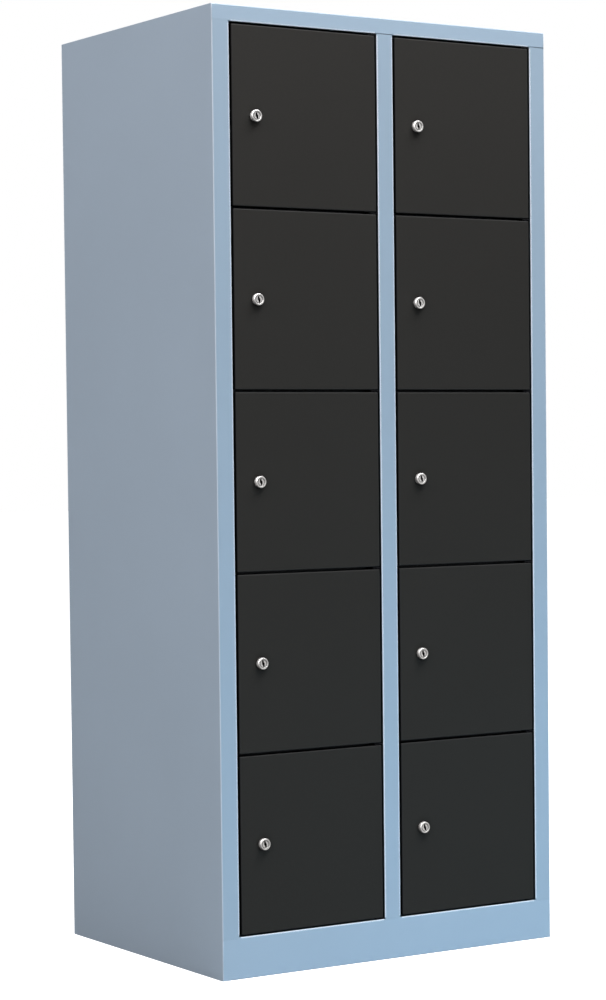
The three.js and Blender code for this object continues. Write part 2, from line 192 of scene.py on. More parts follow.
# Studio
ROOM_COLOUR = (1.0, 1.0, 1.0)
ROOM_LEVEL = 0.2
FLOOR_HALF = 30              # metres from the middle to each edge of the floor
FLOOR_COLOUR = (0.55, 0.55, 0.55)
FLOOR_ROUGHNESS = 0.9
FLOOR_GLOW = 1.0             # towards the camera only
CAMERA_PLACE = (-2.878, -4.577, 1.003)
CAMERA_YAW = 32.97           # degrees right of straight ahead
CAMERA_TILT = -2.33          # degrees up
CAMERA_ROLL = 0.6
CAMERA_LENS = 96.9           # millimetres, on a sensor of the size below
CAMERA_SENSOR = 36
CAMERA_REACH = 200           # metres
CAMERA_SHIFT = (-0.041, 0.048)  # of the picture's height
# name, degrees left of straight in front, degrees up, distance, height aimed at, size, watts, colour
SOFTBOXES = (
    ("key", -25, 62, 3.6, 1.75, (4.5, 2.4), 330, (1.0, 0.99, 0.99)),
    ("left", 80, 33, 5.0, 1.0, (2.4, 2.4), 148, (1.0, 0.86, 0.81)),
    ("low", -12, 0, 1.5, 0.12, (2.0, 0.25), 8.6, (0.38, 0.76, 1.0)),
    ("rear", 190, 20, 5.0, 1.0, (2.4, 2.4), 60, (1.0, 1.0, 1.0)),
    ("card", -34, 0, 1.4, 0.8, (1.5, 2.6), 6.7, (1.0, 0.99, 0.98)),
    ("rim", 75, 40, 5.0, 1.0, (2.0, 2.0), 600, (1.0, 1.0, 1.0)),
)
FOR_METAL = ("card", "rim")      # these light the chrome and zinc pieces only
NOT_REFLECTED = ("low",)

# ---- Places taken from the frame ----

top_low, top_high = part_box("top_panel")
mullion_low, mullion_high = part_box("mullion")
RIGHT = top_high.x
FRONT = top_low.y
BACK = top_high.y
HEIGHT = top_high.z
PLINTH = mullion_low.z
OPENING_TOP = mullion_high.z
STOP_BACK = mullion_high.y
STOP_FRONT = STOP_BACK - SHEET
STILE_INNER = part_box("side_panel_right")[0].x + STOP
MULLION_HALF = mullion_high.x - STOP
SKIN_INNER = RIGHT - SHEET
BACK_PANEL_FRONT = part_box("back_panel")[0].y


# ---- Mesh helpers ----

def piece(name, mesh):
    """A new object for a mesh, linked into the scene."""
    made = bpy.data.objects.new(name, mesh)
    bpy.context.scene.collection.objects.link(made)
    return made


def from_faces(points, faces):
    """A mesh of the given faces, merged where points meet and turned to face outwards."""
    shape = bmesh.new()
    corners = [shape.verts.new(point) for point in points]
    for face in faces:
        shape.faces.new([corners[i] for i in face])
    bmesh.ops.remove_doubles(shape, verts=shape.verts, dist=SAME_PLACE)
    bmesh.ops.recalc_face_normals(shape, faces=shape.faces)
    mesh = bpy.data.meshes.new("shape")
    shape.to_mesh(mesh)
    shape.free()
    return mesh


def placed(section, axis, along):
    """A point of a flat section, set at a distance along the axis that the section is square to."""
    a, b = section
    return {X: (along, a, b), Y: (a, along, b), Z: (a, b, along)}[axis]


def prism(outline, axis, start, end):
    """An outline pulled along an axis. The outline's two values are the other two axes, in order."""
    count = len(outline)
    points = [placed(p, axis, start) for p in outline] + [placed(p, axis, end) for p in outline]
    faces = [tuple(range(count)), tuple(range(count, 2 * count))]
    for i in range(count):
        j = (i + 1) % count
        faces.append((i, j, j + count, i + count))
    return from_faces(points, faces)


def block(low, high):
    """A box between two corners, used as a cutting tool or a flange."""
    (x0, y0, z0), (x1, y1, z1) = low, high
    return prism([(x0, y0), (x1, y0), (x1, y1), (x0, y1)], Z, z0, z1)


def arc(centre, radius, start, end, steps=BEND_STEPS):
    """Points along part of a circle, or of an ellipse if radius is a pair. Angles are in degrees."""
    across, up = radius if isinstance(radius, tuple) else (radius, radius)
    points = []
    for step in range(steps + 1):
        angle = math.radians(start + (end - start) * step / steps)
        points.append((centre[0] + across * math.cos(angle), centre[1] + up * math.sin(angle)))
    return points


def disc(radius, centre=(0, 0), sides=LATHE_SIDES):
    return arc(centre, radius, 0, 360 - 360 / sides, sides - 1)


def folded(path):
    """Points along both faces of a sheet with right-angled folds.
    The path follows one face, and the sheet lies on the right-hand side of it."""
    points = [Vector(p) for p in path]
    face, reverse = [], []
    last = len(points) - 1
    for i, point in enumerate(points):
        arriving = (point - points[i - 1]).normalized() if i > 0 else None
        leaving = (points[i + 1] - point).normalized() if i < last else None
        if arriving is None or leaving is None:
            along = arriving or leaving
            face.append(point)
            reverse.append(point + SHEET * Vector((along.y, -along.x)))
            continue
        turns_right = arriving.cross(leaving) < 0
        face_radius, reverse_radius = (FOLD, BEND) if turns_right else (BEND, FOLD)
        centre = point + (leaving - arriving) * face_radius
        for step in range(BEND_STEPS + 1):
            angle = step / BEND_STEPS * math.pi / 2
            spoke = arriving * math.sin(angle) - leaving * math.cos(angle)
            face.append(centre + spoke * face_radius)
            reverse.append(centre + spoke * reverse_radius)
    return face, reverse


def folded_prism(path, axis, start, end):
    """A folded sheet, pulled along an axis, with its ends built from short strips."""
    face, reverse = folded(path)
    count = len(face)
    rings = [placed(p, axis, along) for along in (start, end) for p in face + reverse]
    other = 2 * count
    faces = [(0, count, count + other, other)]
    faces.append((count - 1, other - 1, 2 * other - 1, other + count - 1))
    for i in range(count - 1):
        faces.append((i, i + 1, i + 1 + count, i + count))
        faces.append((i + other, i + 1 + other, i + 1 + count + other, i + count + other))
        faces.append((i, i + 1, i + 1 + other, i + other))
        faces.append((i + count, i + 1 + count, i + 1 + count + other, i + count + other))
    return from_faces(rings, faces)


def turned(profile, sides=LATHE_SIDES):
    """A profile of (radius, y) points turned about the Y axis.
    It starts and ends on the axis, or closes on itself."""
    points, faces = [], []
    for step in range(sides):
        angle = 2 * math.pi * step / sides
        points += [(r * math.cos(angle), y, r * math.sin(angle)) for r, y in profile]
    count = len(profile)
    closed = profile[0][0] > 0
    for step in range(sides):
        here, there = step * count, (step + 1) % sides * count
        for i in range(count if closed else count - 1):
            j = (i + 1) % count
            corners = (here + i, here + j, there + j, there + i)
            if profile[i][0] == 0:
                corners = corners[:3]
            elif profile[j][0] == 0:
                corners = (here + i, here + j, there + i)
            faces.append(corners)
    return from_faces(points, faces)


def lofted_tray(path, width, height, across, up):
    """A tray folded from one sheet: a flat face with a folded rim all round and ground corners.
    The path is (inset from the edge, depth), from the flat face outwards. Across, up and their
    cross product are the tray's directions of width, height and depth."""
    face, reverse = folded(path)
    deep = up.cross(across)
    rings = []
    for inset, depth in face + reverse[::-1]:
        radius = max(FOLD - inset, 0)
        middle = max(inset, FOLD)
        ring = []
        for corner, start in enumerate((180, 270, 0, 90)):
            right, upper = corner in (1, 2), corner in (2, 3)
            centre = (width - middle if right else middle, height - middle if upper else middle)
            ring += arc(centre, radius, start, start + 90)
        rings.append([across * a + up * b + deep * depth for a, b in ring])
    count = len(rings[0])
    faces = [tuple(range(count)), tuple(range((len(rings) - 1) * count, len(rings) * count))]
    for level in range(len(rings) - 1):
        for i in range(count):
            j = (i + 1) % count
            low = level * count
            faces.append((low + i, low + j, low + count + j, low + count + i))
    return from_faces([point for ring in rings for point in ring], faces)


def combine(mesh, operation, tools):
    """Cuts tools out of a mesh (DIFFERENCE), joins them to it (UNION) or keeps what they share
    (INTERSECT)."""
    work = piece("work", mesh)
    helpers = [piece("tool", tool) for tool in tools]
    for helper in helpers:
        step = work.modifiers.new("step", "BOOLEAN")
        step.operation = operation
        step.solver = "EXACT"
        step.object = helper
    graph = bpy.context.evaluated_depsgraph_get()
    result = bpy.data.meshes.new_from_object(work.evaluated_get(graph), depsgraph=graph)
    for done in [work, *helpers]:
        bpy.data.objects.remove(done)
    return result


def cut(mesh, *tools):
    return combine(mesh, "DIFFERENCE", tools)


def join(mesh, *tools):
    return combine(mesh, "UNION", tools)


def eased(mesh, width=SHEARED, segments=2, kept_sharp=None):
    """Rounds every sharp outside edge and smooths the shading.
    Edges are left as they are where kept_sharp(edge's middle) is true."""
    shape = bmesh.new()
    shape.from_mesh(mesh)
    bmesh.ops.remove_doubles(shape, verts=shape.verts, dist=SAME_PLACE_CUT)
    bmesh.ops.dissolve_limit(shape, angle_limit=math.radians(COPLANAR), verts=shape.verts, edges=shape.edges)
    sharp = []
    for edge in shape.edges:
        if len(edge.link_faces) != 2 or edge.calc_face_angle_signed() < math.radians(SHARP):
            continue
        middle = (edge.verts[0].co + edge.verts[1].co) / 2
        if kept_sharp is None or not kept_sharp(middle):
            sharp.append(edge)
    bmesh.ops.bevel(
        shape, geom=sharp, offset=width, offset_type="OFFSET", segments=segments, profile=0.5,
        affect="EDGES", clamp_overlap=True)
    bmesh.ops.remove_doubles(shape, verts=shape.verts, dist=SAME_PLACE)
    bmesh.ops.recalc_face_normals(shape, faces=shape.faces)
    result = bpy.data.meshes.new("shape")
    shape.to_mesh(result)
    shape.free()
    result.shade_smooth()
    result.set_sharp_from_angle(angle=math.radians(SHARP))
    return result


# ---- Finishes ----

def new_material(name, metallic):
    made = bpy.data.materials.new(name)
    made.use_nodes = True
    surface = made.node_tree.nodes["Principled BSDF"]
    surface.inputs["Metallic"].default_value = metallic
    return made, made.node_tree, surface


def place_on_piece(tree):
    """Position on the piece, with a different offset for each piece so that no two carry the same pattern."""
    where = tree.nodes.new("ShaderNodeTexCoord")
    which = tree.nodes.new("ShaderNodeObjectInfo")
    moved = tree.nodes.new("ShaderNodeVectorMath")
    moved.operation = "MULTIPLY_ADD"
    moved.inputs[1].default_value = (1, 1, 1)
    tree.links.new(where.outputs["Object"], moved.inputs[0])
    tree.links.new(which.outputs["Random"], moved.inputs[2])
    return moved.outputs[0]


def noise(tree, place, scale, detail=2.0):
    made = tree.nodes.new("ShaderNodeTexNoise")
    made.inputs["Scale"].default_value = scale
    made.inputs["Detail"].default_value = detail
    tree.links.new(place, made.inputs["Vector"])
    return made.outputs[0]


def ranged(tree, value, low, high):
    """A noise value stretched so that its usual span runs from low to high."""
    made = tree.nodes.new("ShaderNodeMapRange")
    made.inputs["From Min"].default_value = NOISE_SPAN[0]
    made.inputs["From Max"].default_value = NOISE_SPAN[1]
    made.inputs["To Min"].default_value = low
    made.inputs["To Max"].default_value = high
    tree.links.new(value, made.inputs["Value"])
    return made.outputs[0]


def tinted(tree, value, dark, light):
    """A colour between dark and light."""
    made = tree.nodes.new("ShaderNodeMix")
    made.data_type = "RGBA"
    made.inputs[6].default_value = (*dark, 1)
    made.inputs[7].default_value = (*light, 1)
    tree.links.new(value, made.inputs[0])
    return made.outputs[2]


def bumped(tree, heights):
    """A chain of bumps. Each is a height value and its depth in metres."""
    normal = None
    for value, depth in heights:
        made = tree.nodes.new("ShaderNodeBump")
        made.inputs["Distance"].default_value = depth
        tree.links.new(value, made.inputs["Height"])
        if normal is not None:
            tree.links.new(normal, made.inputs["Normal"])
        normal = made.outputs[0]
    return normal


def worked(tree, operation, first, second=None):
    """A sum on one or two values. A value is a node's output or a plain number."""
    made = tree.nodes.new("ShaderNodeMath")
    made.operation = operation
    for socket, value in zip(made.inputs, (first, second)):
        if isinstance(value, (int, float)):
            socket.default_value = value
        elif value is not None:
            tree.links.new(value, socket)
    return made.outputs[0]


def stepped(tree, value, start, end):
    """0 up to start and 1 from end on, with a ramp between them. Start may be the higher of the two."""
    made = tree.nodes.new("ShaderNodeMapRange")
    made.inputs["From Min"].default_value = start
    made.inputs["From Max"].default_value = end
    tree.links.new(value, made.inputs["Value"])
    return made.outputs[0]


def facing(tree):
    """How squarely the surface faces each of the piece's own axes, from 0 to 1."""
    split = tree.nodes.new("ShaderNodeSeparateXYZ")
    tree.links.new(tree.nodes.new("ShaderNodeTexCoord").outputs["Normal"], split.inputs[0])
    return [worked(tree, "ABSOLUTE", part) for part in split.outputs]


def fold_highlight_mask(tree):
    """Mask for the painted highlight: 1 where the surface turns away from the piece's own axes, as on folds
    and eased edges. 0 on flats."""
    along = facing(tree)
    largest = worked(tree, "MAXIMUM", worked(tree, "MAXIMUM", along[X], along[Y]), along[Z])
    return stepped(tree, largest, *FLAT_TO_FOLD)


def edge_highlight_mask(tree, width):
    """Mask for the painted highlight: 1 at an outside edge, falling to 0 on the flats at the given distance
    from it.
    """
    rounded = tree.nodes.new("ShaderNodeBevel")
    rounded.samples = SURROUND_SAMPLES
    rounded.inputs["Radius"].default_value = width
    true = tree.nodes.new("ShaderNodeNewGeometry")
    meeting = tree.nodes.new("ShaderNodeVectorMath")
    meeting.operation = "DOT_PRODUCT"
    tree.links.new(rounded.outputs[0], meeting.inputs[0])
    tree.links.new(true.outputs["Normal"], meeting.inputs[1])
    return stepped(tree, meeting.outputs["Value"], *FLAT_TO_EDGE)


def painted_gap_shade(tree, reach):
    """Painted shade: 1 on open surfaces, falling to 0 in gaps narrower than the reach, where shade falls."""
    around = tree.nodes.new("ShaderNodeAmbientOcclusion")
    around.samples = SURROUND_SAMPLES
    around.inputs["Distance"].default_value = reach
    return stepped(tree, around.outputs["AO"], *OPENNESS)


def position(tree, axis):
    """Distance along an axis of the piece, from its origin."""
    split = tree.nodes.new("ShaderNodeSeparateXYZ")
    tree.links.new(tree.nodes.new("ShaderNodeTexCoord").outputs["Object"], split.inputs[0])
    return split.outputs[axis]


def between(tree, value, low, high):
    """1 from low to high and 0 beyond them, with a short ramp inside each end."""
    above = stepped(tree, value, low, low + RAMP)
    below = stepped(tree, value, high, high - RAMP)
    return worked(tree, "MULTIPLY", above, below)


def carcass_edge_highlight(tree, across, up):
    """How strong the painted highlight is along a carcass piece's edges. It is strongest round the openings,
    in a span across the front on either side of the middle and a span up it, as far as the turn into the
    opening. It is faint on the folds at the outer corners."""
    from_middle = worked(tree, "ABSOLUTE", position(tree, X))
    in_width = between(tree, from_middle, *across)
    in_height = between(tree, position(tree, Z), *up)
    inside = worked(tree, "MULTIPLY", in_width, in_height)
    folds = fold_highlight_mask(tree)
    edges = worked(tree, "MAXIMUM", folds, edge_highlight_mask(tree, HIGHLIGHT_BAND))
    in_front = stepped(tree, facing(tree)[Y], *SIDE_TO_FRONT)
    inner = worked(tree, "MULTIPLY", worked(tree, "MULTIPLY", edges, in_front), inside)
    corner = stepped(tree, from_middle, RIGHT - CORNER_BAND, RIGHT - CORNER_BAND + MM)
    faint = worked(tree, "MULTIPLY", worked(tree, "MULTIPLY", folds, corner), CORNER_SHARE)
    return worked(tree, "ADD", inner, faint)


def multiplied(tree, colour, by):
    """A colour output multiplied by another colour or value."""
    made = tree.nodes.new("ShaderNodeMix")
    made.data_type = "RGBA"
    made.blend_type = "MULTIPLY"
    made.inputs[0].default_value = 1
    tree.links.new(colour, made.inputs[6])
    tree.links.new(by, made.inputs[7])
    return made.outputs[2]


def linear(red, green, blue):
    """An sRGB colour, 0 to 255, as linear light."""
    return tuple(((c / 255 + 0.055) / 1.055) ** 2.4 for c in (red, green, blue))


def scaled(colour, share):
    return tuple(c * share for c in colour)


def powder_coat(name, colour, fold_highlight_colour, mottle, rough, shine, spans=None):
    """Baked powder paint: slight clouds of tone, a fine grain and the rolling surface called orange peel.
    A painted highlight lies over folds and beside them, and painted shade darkens narrow gaps. Spans, across
    and up the front, are for pieces built in place, and keep the painted highlight to the edges of the
    openings."""
    made, tree, surface = new_material(name, 0)
    place = place_on_piece(tree)
    clouds = ranged(tree, noise(tree, place, CLOUD_SCALE, CLOUD_DETAIL), 0, 1)
    grain = noise(tree, place, GRAIN_SCALE)
    waves = noise(tree, place, PEEL_SCALE)
    speckle = tinted(tree, ranged(tree, grain, 0, 1), (1 - mottle,) * 3, (1 + mottle,) * 3)
    tone = tinted(tree, clouds, scaled(colour, 1 - mottle), scaled(colour, 1 + mottle))
    # Painted shade: the colour is darkened in narrow gaps, where light hardly reaches
    lit = painted_gap_shade(tree, CREVICE)
    if spans:
        edges = carcass_edge_highlight(tree, *spans)
        # No painted shade near the floor, which would be taken for the side of a gap
        lit = worked(tree, "MAXIMUM", lit, stepped(tree, position(tree, Z), FLOOR_BAND, FLOOR_BAND - MM))
    else:
        # Painted highlight over folds and beside edges
        edges = worked(tree, "MAXIMUM", fold_highlight_mask(tree), edge_highlight_mask(tree, HIGHLIGHT_BAND))
    folds = tinted(tree, edges, colour, fold_highlight_colour)
    tree.links.new(multiplied(tree, tone, speckle), folds.node.inputs[6])
    tree.links.new(multiplied(tree, folds, lit), surface.inputs["Base Color"])
    tree.links.new(ranged(tree, waves, *rough), surface.inputs["Roughness"])
    relief = bumped(tree, [(waves, PEEL_DEPTH), (grain, GRAIN_SHARE * PEEL_DEPTH)])
    tree.links.new(relief, surface.inputs["Normal"])
    surface.inputs["Specular IOR Level"].default_value = shine
    return made


def frame_paint(name, share=1.0, spans=None):
    colour, fold_highlight_colour = scaled(linear(*FRAME_COLOUR), share), linear(*FRAME_FOLD_HIGHLIGHT)
    return powder_coat(name, colour, fold_highlight_colour, FRAME_MOTTLE, FRAME_ROUGHNESS, FRAME_SHINE, spans)


def dark_paint(name, colour, fold_highlight_colour):
    return powder_coat(name, linear(*colour), linear(*fold_highlight_colour), DARK_MOTTLE, DARK_ROUGHNESS, DARK_SHINE)


def bright_metal(name, colour, rough, scale):
    """Plated metal: faint cloudiness in colour and polish, with shallow unevenness, and painted shade in
    narrow gaps, as round the foot of the lock head. Surfaces that run along the lock's axis are duller than
    those square to it."""
    made, tree, surface = new_material(name, 1)
    place = place_on_piece(tree)
    clouds = noise(tree, place, scale, CLOUD_DETAIL)
    fine = noise(tree, place, RELIEF_SCALE * scale)
    tone = tinted(tree, ranged(tree, clouds, 0, 1), scaled(colour, CLOUDED), colour)
    # Painted shade in narrow gaps, which gives the dark ring round each lock head
    tree.links.new(multiplied(tree, tone, painted_gap_shade(tree, CREVICE)), surface.inputs["Base Color"])
    dull = worked(tree, "MULTIPLY", stepped(tree, facing(tree)[Y], *FACE_TO_SIDE), DULL_SIDE)
    tree.links.new(worked(tree, "ADD", ranged(tree, clouds, *rough), dull), surface.inputs["Roughness"])
    tree.links.new(bumped(tree, [(fine, RELIEF_DEPTH)]), surface.inputs["Normal"])
    return made


# Spans across and up the front that keep the painted highlight to the edges of the openings
UPRIGHT_SPANS = ((-MM, RIGHT - CORNER_BAND), (PLINTH + JOINT_BAND, OPENING_TOP - JOINT_BAND))
CROSSBAR_SPANS = (
    (MULLION_HALF + JOINT_BAND, STILE_INNER - JOINT_BAND),
    (PLINTH - 2 * HIGHLIGHT_BAND, OPENING_TOP + 2 * HIGHLIGHT_BAND),
)
MATERIALS = {
    "frame_paint": frame_paint("frame_paint"),
    "upright_paint": frame_paint("upright_paint", 1.0, UPRIGHT_SPANS),
    # A copy of the frame paint made brighter, as painted light on rail and plinth
    "crossbar_lit_paint": frame_paint("crossbar_lit_paint", CROSSBAR_LIGHT_SHARE, CROSSBAR_SPANS),
    "door_paint": dark_paint("door_paint", DOOR_COLOUR, DOOR_FOLD_HIGHLIGHT),
    # Near black, as painted shade on the hinge strips and rods
    "hinge_shade_paint": dark_paint("hinge_shade_paint", HINGE_SHADE_COLOUR, HINGE_FOLD_HIGHLIGHT),
    "chrome": bright_metal("chrome", CHROME_COLOUR, CHROME_ROUGHNESS, CHROME_SCALE),
    "zinc": bright_metal("zinc", ZINC_COLOUR, ZINC_ROUGHNESS, ZINC_SCALE),
}
METAL = bpy.data.collections.new("metal")  # the chrome and zinc pieces, which some lights are kept to


def show(name, mesh, finish, body, place=(0, 0, 0), replaced=()):
    """Puts a finished mesh in the scene as a piece that rides on a body. It may stand for CAD nodes."""
    made = piece(name, mesh)
    made.location = place
    if not mesh.materials:
        mesh.materials.append(MATERIALS[finish])
    weighted = made.modifiers.new("normals", "WEIGHTED_NORMAL")
    weighted.keep_sharp = True
    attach(made, body)
    if finish in ("chrome", "zinc"):
        METAL.objects.link(made)
    if replaced:
        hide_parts(*replaced)


def show_carcass(name, mesh, finish="frame_paint"):
    """A piece of the carcass, built in place, that stands for the CAD node of the same name."""
    show(name + "_skin", mesh, finish, "carcass", replaced=(name,))


# ---- Carcass ----

def mirrored(mesh):
    """The same shape on the other side of the carcass."""
    mesh.transform(Matrix.Scale(-1, 4, (1, 0, 0)))
    mesh.flip_normals()
    return mesh


def side_panel(flush_at):
    """The right-hand side skin with its stile, jamb and door stop, a back flange and a foot flange.
    The grooves where the stile meets the rail or the plinth are filled at the levels flush_at."""
    path = [
        (STILE_INNER - STOP, STOP_FRONT),
        (STILE_INNER, STOP_FRONT),
        (STILE_INNER, FRONT),
        (RIGHT, FRONT),
        (RIGHT, BACK),
        (RIGHT - BACK_FLANGE, BACK),
    ]
    # Run backwards, the path has the sheet on its right-hand side.
    skin = folded_prism(path[::-1], Z, 0, HEIGHT - SHEET)
    tools = []
    for low, high in ((-SHEET, PLINTH), (OPENING_TOP, HEIGHT)):
        tools.append(block((0, FRONT - SHEET, low), (SKIN_INNER, STOP_BACK + SHEET, high)))
        tools.append(block((0, FRONT - SHEET, low), (RIGHT + SHEET, FRONT + SHEET, high)))
    foot = block((RIGHT - FOOT_FLANGE, STOP_BACK, 0), (SKIN_INNER + SHEET / 2, BACK_PANEL_FRONT, SHEET))
    fillers = [groove_filler(level, STILE_INNER + FOLD, RIGHT) for level in flush_at]
    return join(cut(skin, *tools), foot, *fillers)


def groove_filler(level, left, right):
    """Fills the groove between the end of an upright and the fold of the rail above it, or of the
    plinth below it. A skin of filler runs on over the flat beyond the fold."""
    proud = FRONT - FILLER_SKIN
    up = 1 if level == OPENING_TOP else -1
    beyond = level + up * (FOLD + SHEET)
    groove = [(proud, level), (proud, beyond), (FRONT, beyond), (FRONT, level + up * FOLD)]
    groove += arc((FRONT + FOLD, level + up * FOLD), FOLD, 180, 180 + up * 90)[1:]
    bar = prism(groove, X, left, right)
    return combine(bar, "INTERSECT", [prism(carcass_plan(FILLER_SKIN), Z, -SHEET, HEIGHT)])


def at_flush_joint(middle):
    """True for edges beside the filled groove at the plinth, and along the front corners."""
    return abs(middle.z - PLINTH) < 2 * FOLD or at_front_corner(middle)


def at_either_end(middle):
    """The same, and true for edges beside the filled groove at the rail too."""
    return at_flush_joint(middle) or abs(middle.z - OPENING_TOP) < 2 * FOLD


def at_front_corner(middle):
    """True for edges along the front corners, where the faces of rail and plinth meet the side skins."""
    return abs(middle.x) > RIGHT - FOLD and middle.y < FRONT + FOLD


def carcass_plan(proud=0.0):
    """The carcass seen from above, with its upright corners rounded like its folds.
    The front is moved forward by proud."""
    front = FRONT - proud
    corners = ((RIGHT, BACK, 0), (-RIGHT, BACK, 90), (-RIGHT, front, 180), (RIGHT, front, 270))
    plan = []
    for x, y, start in corners:
        centre = (x - math.copysign(FOLD, x), y - math.copysign(FOLD, y))
        plan += arc(centre, FOLD, start, start + 90)
    return plan


def clear_of_sides(low, high):
    """Tools that take away what would run into the side skins behind a full-width face."""
    behind = (FRONT + SHEET, BACK + SHEET)
    return [
        block((SKIN_INNER, behind[0], low), (RIGHT + SHEET, behind[1], high)),
        block((-RIGHT - SHEET, behind[0], low), (-SKIN_INNER, behind[1], high)),
    ]


def rod_places():
    """The middle of each hinge rod, seen from above."""
    for side in SIDES:
        low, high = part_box(f"hinge_rod_{side}")
        yield (low.x + high.x) / 2, (low.y + high.y) / 2


def rod_holes(low, high):
    return [prism(disc(EAR_HOLE, place, ROUND_SIDES), Z, low, high) for place in rod_places()]


def top_panel():
    path = [
        (STOP_BACK, OPENING_TOP),
        (FRONT, OPENING_TOP),
        (FRONT, HEIGHT),
        (BACK, HEIGHT),
        (BACK, HEIGHT - BACK_FLANGE),
    ]
    panel = folded_prism(path, X, -RIGHT, RIGHT)
    panel = combine(panel, "INTERSECT", [prism(carcass_plan(), Z, 0, HEIGHT + SHEET)])
    flange = (OPENING_TOP - SHEET, HEIGHT - SHEET)
    tools = clear_of_sides(*flange)
    for sign in (-1, 1):
        near, far = sorted((sign * (RIGHT - BACK_FLANGE), sign * (RIGHT + SHEET)))
        tools.append(block((near, BACK_PANEL_FRONT, flange[0]), (far, BACK + SHEET, flange[1])))
    tools += rod_holes(OPENING_TOP - SHEET, OPENING_TOP + 2 * SHEET)
    return cut(panel, *tools)


def plinth():
    sill_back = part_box("plinth")[1].y
    path = [(FRONT + FOOT_FLANGE, 0), (FRONT, 0), (FRONT, PLINTH), (sill_back, PLINTH)]
    panel = folded_prism(path, X, -RIGHT, RIGHT)
    panel = combine(panel, "INTERSECT", [prism(carcass_plan(), Z, -SHEET, PLINTH + SHEET)])
    tools = clear_of_sides(-SHEET, PLINTH + SHEET)
    return cut(panel, *tools, *rod_holes(PLINTH - 2 * SHEET, PLINTH + SHEET))


def mullion():
    half = MULLION_HALF
    path = [
        (half + STOP, STOP_FRONT),
        (half, STOP_FRONT),
        (half, FRONT),
        (-half, FRONT),
        (-half, STOP_FRONT),
        (-half - STOP, STOP_FRONT),
    ]
    return join(folded_prism(path, Z, PLINTH, OPENING_TOP), groove_filler(PLINTH, FOLD - half, half - FOLD))


def centre_partition():
    low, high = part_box("centre_partition")
    path = [(high.x, low.y), (low.x, low.y), (low.x, high.y)]
    sheet = folded_prism(path, Z, low.z, high.z)
    rail_room = block((low.x - SHEET, FRONT, OPENING_TOP), (high.x + SHEET, STOP_BACK, HEIGHT))
    return cut(sheet, rail_room)


def back_panel():
    low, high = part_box("back_panel")
    return block(low, high)


def base_panel():
    """Floor of the bottom compartments, with a flange turned down along each wall and the back."""
    low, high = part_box("base_panel")
    sheet = folded_prism([(low.y, high.z), (high.y, high.z), (high.y, low.z)], X, low.x, high.x)
    behind_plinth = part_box("plinth")[1].y + SHEET
    flanges = []
    for x in (low.x, high.x - SHEET):
        far = (x + SHEET, high.y - SHEET, high.z - SHEET / 2)
        flanges.append(block((x, behind_plinth, low.z), far))
    return join(sheet, *flanges)


def shelf(low, high):
    """A shelf tray with a deep front lip. Its corner is at (0, 0, 0) and its top faces up at z = 0."""
    size = high - low
    across, into = Vector((1, 0, 0)), Vector((0, 1, 0))
    path = [(SHELF_BORDER, 0), (0, 0), (0, size.z)]
    tray = lofted_tray(path, size.x, size.y, across, into)
    behind_lip = block(
        (-SHEET, SHEET, -size.z - SHEET), (size.x + SHEET, size.y + SHEET, -SHELF_FLANGE))
    return cut(tray, behind_lip)


# ---- Hinges ----

def ear_outline(low, high):
    ear = [(high.x, STOP_FRONT), (low.x, STOP_FRONT)]
    ear += arc((low.x + EAR_CORNER, low.y + EAR_CORNER), EAR_CORNER, 180, 270)
    return ear + [(high.x, low.y)]


def gap_middles(side):
    """Heights of the middles of the gaps above, between and below a column's doors."""
    edges = [OPENING_TOP]
    for row in range(1, ROWS + 1):
        low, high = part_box(f"door_{side}_{row}")
        edges += [high.z, low.z]
    edges.append(PLINTH)
    return [(above + below) / 2 for above, below in zip(edges[::2], edges[1::2])]


def hinge_strip(side):
    """Upright strip on the door stop, with a rounded ear for the rod in every gap between doors."""
    low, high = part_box(f"hinge_strip_{side}")
    edge = high.x - SHEET
    strip = block((edge - STRIP_WIDTH, STOP_FRONT - STRIP, low.z), (edge, STOP_FRONT, high.z))
    outline = ear_outline(low, high)
    ears = [prism(outline, Z, z - STRIP / 2, z + STRIP / 2) for z in gap_middles(side)]
    return cut(join(strip, *ears), *rod_holes(low.z - STRIP, high.z + STRIP))


def hinge_rod(side):
    """Round rod with rounded ends, upright from z = 0 about the Z axis."""
    low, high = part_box(f"hinge_rod_{side}")
    length = high.z - low.z
    nose = ROD_RADIUS / 3
    profile = [(0, 0)]
    profile += arc((ROD_RADIUS - nose, nose), nose, -90, 0, 4)
    profile += arc((ROD_RADIUS - nose, length - nose), nose, 0, 90, 4)
    profile += [(0, length)]
    rod = turned(profile, ROUND_SIDES)
    rod.transform(Matrix.Rotation(math.pi / 2, 4, "X"))
    return rod


# ---- Doors: x from the free edge, y from the front face, z from the bottom edge ----

def door_pan(size, lock_place):
    """Door folded from one sheet, with mitred lips round the back and holes for lock and hinge rod."""
    across, up = Vector((1, 0, 0)), Vector((0, 0, 1))
    path = [(2 * DOOR_LIP, 0), (0, 0), (0, size.y), (DOOR_LIP, size.y)]
    pan = lofted_tray(path, size.x, size.z, across, up)
    tools = [prism(disc(LOCK_HOLE, lock_place), Y, -SHEET, 2 * SHEET)]
    pivot = (size.x - PIVOT_INSET, PIVOT_INSET)
    for low in (-SHEET, size.z - 2 * SHEET):
        tools.append(prism(disc(PIVOT_HOLE, pivot, ROUND_SIDES), Z, low, low + 3 * SHEET))
    for x, z, turn in ((0, 0, 45), (size.x, 0, 135), (size.x, size.z, 225), (0, size.z, 315)):
        slot = block(
            (MITRE_START, -1.5 * SHEET, -MITRE_GAP / 2), (2 * DOOR_LIP, 1.5 * SHEET, MITRE_GAP / 2))
        slot.transform(Matrix.Translation((x, size.y, z)) @ Matrix.Rotation(math.radians(-turn), 4, "Y"))
        tools.append(slot)
    return cut(pan, *tools)


# ---- Locks: about the lock's axis, y from the door's front face ----

